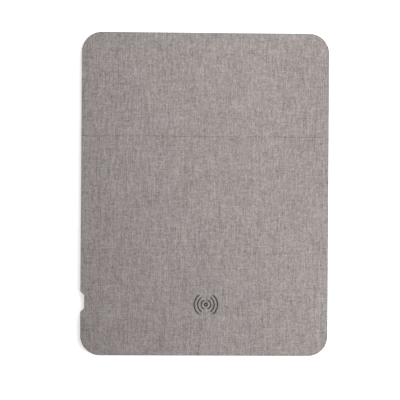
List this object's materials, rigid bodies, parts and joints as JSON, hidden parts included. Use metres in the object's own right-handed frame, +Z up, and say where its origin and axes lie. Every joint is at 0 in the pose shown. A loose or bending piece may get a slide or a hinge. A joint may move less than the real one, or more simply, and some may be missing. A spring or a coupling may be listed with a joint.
{
  "type": "wireless charging pad",
  "caption": "Flat desk pad in grey linen-look fabric with a wireless charging coil in its near panel, a recessed socket in one side and fold lines that close it into a booklet.",
  "frame": {"origin": "on the desk surface under the middle of the open pad", "axes": "+Z up out of the fabric, +Y away from the user towards the plain far panel, X across the width with the plug recess on the -X side"},
  "size_m": [0.23, 0.3, 0.0055],
  "materials": {
    "linen_fabric": "matte",
    "fibre_board": "matte",
    "levelling_felt": "matte",
    "grip_rubber": "matte",
    "grey_plastic": "satin",
    "black_plastic": "satin",
    "socket_steel": "satin",
    "circuit_board": "satin",
    "chip_resin": "satin",
    "capacitor_ceramic": "satin",
    "copper_wire": "satin",
    "ferrite": "satin"
  },
  "bodies": {
    "middle_panel": {"fabric_cover_middle": "linen_fabric", "core_board_middle": "fibre_board", "infill_sheet_middle": "levelling_felt", "backing_middle": "grip_rubber"},
    "far_panel": {"fabric_cover_far": "linen_fabric", "core_board_far": "fibre_board", "infill_sheet_far": "levelling_felt", "backing_far": "grip_rubber"},
    "spine": {"fabric_cover_spine": "linen_fabric", "core_strip_spine": "fibre_board", "backing_spine": "grip_rubber"},
    "charging_panel": {"backing_charging": "grip_rubber", "bridge_chip_1": "chip_resin", "bridge_chip_2": "chip_resin", "charging_coil": "copper_wire", "circuit_board": "circuit_board", "coil_disc": "levelling_felt", "control_chip": "chip_resin", "core_board_charging": "fibre_board", "crystal": "socket_steel", "fabric_cover_charging": "linen_fabric", "ferrite_plate": "ferrite", "filter_inductor": "ferrite", "infill_sheet_charging": "levelling_felt", "input_capacitor_1": "capacitor_ceramic", "input_capacitor_2": "capacitor_ceramic", "module_lid": "grey_plastic", "module_tray": "grey_plastic", "port_bezel": "grey_plastic", "resonant_capacitor_1": "capacitor_ceramic", "resonant_capacitor_2": "capacitor_ceramic", "resonant_capacitor_3": "capacitor_ceramic", "resonant_capacitor_4": "capacitor_ceramic", "socket_shell": "socket_steel", "socket_tongue": "black_plastic"}
  },
  "joints": [
    {"name": "far_fold", "type": "hinge", "parent": "middle_panel", "child": "far_panel", "pos_m": [0, 0.0535, 0.0056], "axis": [1, 0, 0], "range_deg": [0, 180]},
    {"name": "spine_fold", "type": "hinge", "parent": "middle_panel", "child": "spine", "pos_m": [0, -0.0493, 0.0056], "axis": [-1, 0, 0], "range_deg": [0, 90]},
    {"name": "charging_fold", "type": "hinge", "parent": "spine", "child": "charging_panel", "pos_m": [0, -0.0552, 0.0056], "axis": [-1, 0, 0], "range_deg": [0, 90]}
  ]
}
